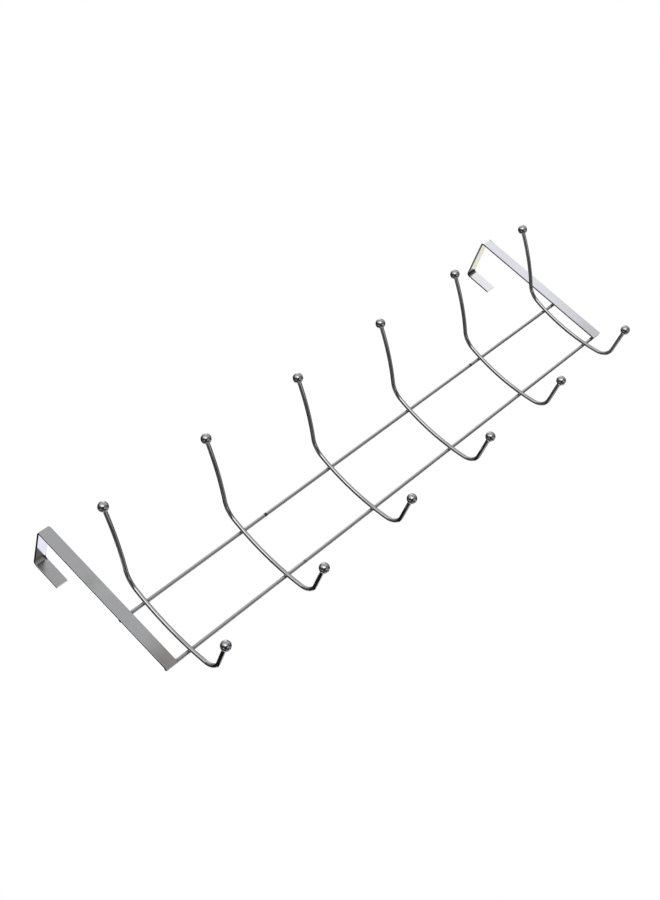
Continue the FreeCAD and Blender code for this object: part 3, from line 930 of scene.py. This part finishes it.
# %% Balls
def make_ball(name, heading):
    """A ball with a filleted neck, whose wire arrives along a heading."""
    bm = bmesh.new()
    ball_profile(bm)
    bmesh.ops.spin(bm, geom=bm.verts[:] + bm.edges[:], cent=(0, 0, 0), axis=(0, 0, 1),
                   angle=2 * math.pi, steps=BALL_SIDES, use_merge=True, use_duplicate=False)
    bmesh.ops.remove_doubles(bm, verts=bm.verts, dist=SAME_POINT)
    turn = Matrix.Rotation(heading - math.pi / 2, 4, "X")
    place = Matrix.Translation(ball_centre(name))
    bmesh.ops.transform(bm, matrix=place @ turn, verts=bm.verts)
    return add_piece(f"plated_{name}", bm, ball_chrome, name)


for number in range(1, len(HOOKS) + 1):
    make_ball(f"upper_ball_{number}", UPPER_HEADING)
    ball = make_ball(f"lower_ball_{number}", LOWER_HEADING + math.pi)
print(f"balls: {2 * len(HOOKS)}, each of {len(ball.data.polygons)} faces")

# %% [markdown]
# The section of the straps
#
# A strap is flat bar, folded twice. Its long edges were rolled round at the mill, but its two ends were
# sheared off square. So the section is a rectangle with bevelled corners, ready to be swept. Smooth
# shading blends the slope of a rolled edge into the flat face beside it, and a mirror shows that as a
# curved reflection. Flat shading would end that, but also show every facet of the edge. A narrow strip
# beside each rolled edge takes up the blend instead.

# %% The flat bar's section
EDGE_STEPS = 4
FLAT_MARGIN = 0.08 * MM         # width of a narrow strip beside a bend or a rolled edge


def cut_across(bm, point, normal):
    """Cuts a line of edges through the whole bmesh, without taking anything away."""
    everything = bm.verts[:] + bm.edges[:] + bm.faces[:]
    bmesh.ops.bisect_plane(bm, geom=everything, dist=SAME_POINT, plane_co=point, plane_no=normal)


def bar_section():
    """The flat bar's section: its width along X, its thickness along Y, and its corners rounded."""
    bm = bmesh.new()
    bmesh.ops.create_grid(bm, x_segments=1, y_segments=1, size=0.5)
    bmesh.ops.scale(bm, vec=(STRAP_WIDTH, STRAP_THICKNESS, 1), verts=bm.verts)
    bmesh.ops.bevel(bm, geom=bm.verts[:], affect="VERTICES", offset=EDGE_ROUND, offset_type="OFFSET",
                    segments=EDGE_STEPS, profile=0.5, material=-1)
    for across, half in ((Vector((1, 0, 0)), STRAP_WIDTH / 2), (Vector((0, 1, 0)), STRAP_THICKNESS / 2)):
        for side in (-1, 1):
            cut_across(bm, across * side * (half - EDGE_ROUND - FLAT_MARGIN), across)
    return bm


print(f"section: {EDGE_ROUND / MM:.2f} mm corners and strips of {FLAT_MARGIN / MM:.2f} mm beside them")

# %% [markdown]
# The bulge in a fold
#
# A sharp fold squeezes the metal on its inside and pulls it on its outside, so the bar grows a little
# wider inside each fold and narrower outside it. The bulge is only a tenth of a millimetre, but it tells
# a fold from a casting. It could be sculpted, but a sine that is strongest half way round the fold and
# nothing at both ends gives the same shape each time.

# %% Bulging the folds
BULGE = 0.10 * MM               # how much wider each edge grows inside a fold


def bulge_folds(bm, centre_x):
    """Widens the inside of each fold and narrows its outside."""
    middle = FOLD_RADIUS + STRAP_THICKNESS / 2
    for pin_y in (FOLD_RADIUS, DOOR_GAP - FOLD_RADIUS):
        for vert in bm.verts:
            # from the pin that the bar was folded round to the vertex
            arm = Vector((vert.co.y - pin_y, vert.co.z + FOLD_RADIUS))
            outward = arm.x * (1 if pin_y > DOOR_GAP / 2 else -1)
            if outward < 0 or arm.y < 0 or arm.length > FOLD_RADIUS + 2 * STRAP_THICKNESS:
                continue
            share = math.sin(2 * math.atan2(arm.y, outward))
            depth = (middle - arm.length) / (STRAP_THICKNESS / 2)
            side = (vert.co.x - centre_x) / (STRAP_WIDTH / 2)
            vert.co.x += side * BULGE * share * depth


print(f"bulge: at most {BULGE / MM:.2f} mm on each edge")

# %% [markdown]
# The straps
#
# The section is swept up the lip, over the web and down the arm, with the same bender as the wire. Each
# flat ends in a narrow strip, so that the fold's shading can't reach into it. A modifier could fold a
# straight bar too, but then the place of each fold would depend on the one before.

# %% Straps
FOLD_STEP = 0.22 * MM
LIP_STEPS = 6
WEB_STEPS = 8
ARM_STEPS = 20


def make_strap(name):
    """One strap, swept from the lip's end to the arm's end."""
    low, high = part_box(name)
    centre_x = (low.x + high.x) / 2
    middle = STRAP_THICKNESS / 2
    start = (centre_x, DOOR_GAP + middle, -LIP_DROP)
    bar = Bender(bar_section(), start, math.pi / 2)
    fold = FOLD_RADIUS + middle
    bar.straight(LIP_DROP - FOLD_RADIUS - FLAT_MARGIN, steps=LIP_STEPS)
    bar.straight(FLAT_MARGIN)
    bar.bend(fold, math.pi / 2, FOLD_STEP)
    bar.straight(FLAT_MARGIN)
    bar.straight(DOOR_GAP - 2 * FOLD_RADIUS - 2 * FLAT_MARGIN, steps=WEB_STEPS)
    bar.straight(FLAT_MARGIN)
    bar.bend(fold, math.pi / 2, FOLD_STEP)
    bar.straight(FLAT_MARGIN)
    bar.straight(-FOLD_RADIUS - ARM_END - FLAT_MARGIN, steps=ARM_STEPS)
    bulge_folds(bar.bm, centre_x)
    return add_piece(f"plated_{name}", bar.bm, strap_chrome, name)


straps = {name: make_strap(name) for name in ("left_strap", "right_strap")}
lamp_lit.objects.link(straps["right_strap"])
for name, strap in straps.items():
    print(f"plated_{name}: {len(strap.data.polygons)} faces")

# %% [markdown]
# The rails
#
# The rails are cut lengths of 2.7 mm wire. Cut wire has a slightly rounded end, so each end's rim is
# bevelled. A ring of edges close to each rim keeps the rest of the rail straight in its shading too,
# where a plain cylinder would seem to taper from one end to the other.

# %% Rails
RAIL_SIDES = 28
RIM_ROUND = 0.35 * MM
RIM_STEPS = 4
RING_PLACE = 2 * RIM_ROUND      # how far each ring of edges is from the rail's end


def make_rail(name):
    """One rail, extruded along X, with rounded rims."""
    low, high = rail_boxes[name]
    length = high.x - low.x
    bm = bmesh.new()
    bmesh.ops.create_circle(bm, cap_ends=True, segments=RAIL_SIDES, radius=RAIL_RADIUS)
    made = bmesh.ops.extrude_face_region(bm, geom=bm.faces[:])["geom"]
    bmesh.ops.translate(bm, verts=only(bmesh.types.BMVert, made), vec=(0, 0, length))
    # only the two round ends have more than four corners
    rims = [edge for edge in bm.edges if any(len(face.verts) > 4 for face in edge.link_faces)]
    bmesh.ops.bevel(bm, geom=rims, affect="EDGES", offset=RIM_ROUND, offset_type="OFFSET",
                    segments=RIM_STEPS, profile=0.5, material=-1)
    for ring in (RING_PLACE, length - RING_PLACE):
        cut_across(bm, (0, 0, ring), (0, 0, 1))
    place = Matrix.Translation((low.x, rail_axes[name].y, rail_axes[name].z))
    bmesh.ops.transform(bm, matrix=place @ Matrix.Rotation(math.pi / 2, 4, "Y"), verts=bm.verts)
    return add_piece(f"plated_{name}", bm, rail_chrome, name)


for name in rail_boxes:
    rail = make_rail(name)
    print(f"plated_{name}: {len(rail.data.polygons)} faces")

# %% [markdown]
# The welds
#
# The wires are resistance welded: pressed together and heated by a current until a little metal squeezes
# out of the joint. What shows is a small, flat, lumpy cushion in the corner between the two bars. It
# could be a torus round the joint, but a weld is never that regular. A ball squashed into the joint has
# the right shape, and noise keeps the lumps from being alike.

# %% A weld
LUMP = 0.10 * MM
LUMPS_PER_METRE = 900.0
WELD_FINENESS = 3               # how many times the ball's faces are split


def make_weld(name, centre, reach):
    """A lumpy cushion of metal with its half sizes along X, Y and Z."""
    bm = bmesh.new()
    bmesh.ops.create_icosphere(bm, subdivisions=WELD_FINENESS, radius=1.0)
    bmesh.ops.scale(bm, vec=reach, verts=bm.verts)
    bmesh.ops.translate(bm, verts=bm.verts, vec=centre)
    for vert in bm.verts:
        vert.co += (vert.co - centre).normalized() * LUMP * noise.noise(vert.co * LUMPS_PER_METRE)
    return add_piece(name, bm, weld_chrome)


print(f"lumps: up to {LUMP / MM:.2f} mm high and about {1 / LUMPS_PER_METRE / MM:.1f} mm wide")

# %% Welds
CROSS_REACH = (1.30 * MM, 0.60 * MM, 1.25 * MM)
ARM_REACH = (3.6 * MM, 0.55 * MM, 1.28 * MM)
contact_y = rail_axes["upper_rail"].y - RAIL_RADIUS + WELD_DEPTH / 2
for side in ("upper", "lower"):
    level = rail_axes[f"{side}_rail"].z
    for number, place in enumerate(hook_places, start=1):
        make_weld(f"{side}_hook_weld_{number}", Vector((place, contact_y, level)), CROSS_REACH)
    for end in ("left", "right"):
        arm_low, arm_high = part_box(f"{end}_strap")
        joint = Vector(((arm_low.x + arm_high.x) / 2, 0, level))
        make_weld(f"{side}_{end}_arm_weld", joint, ARM_REACH)
print(f"welds: {2 * len(hook_places)} at the hooks and 4 at the arms")
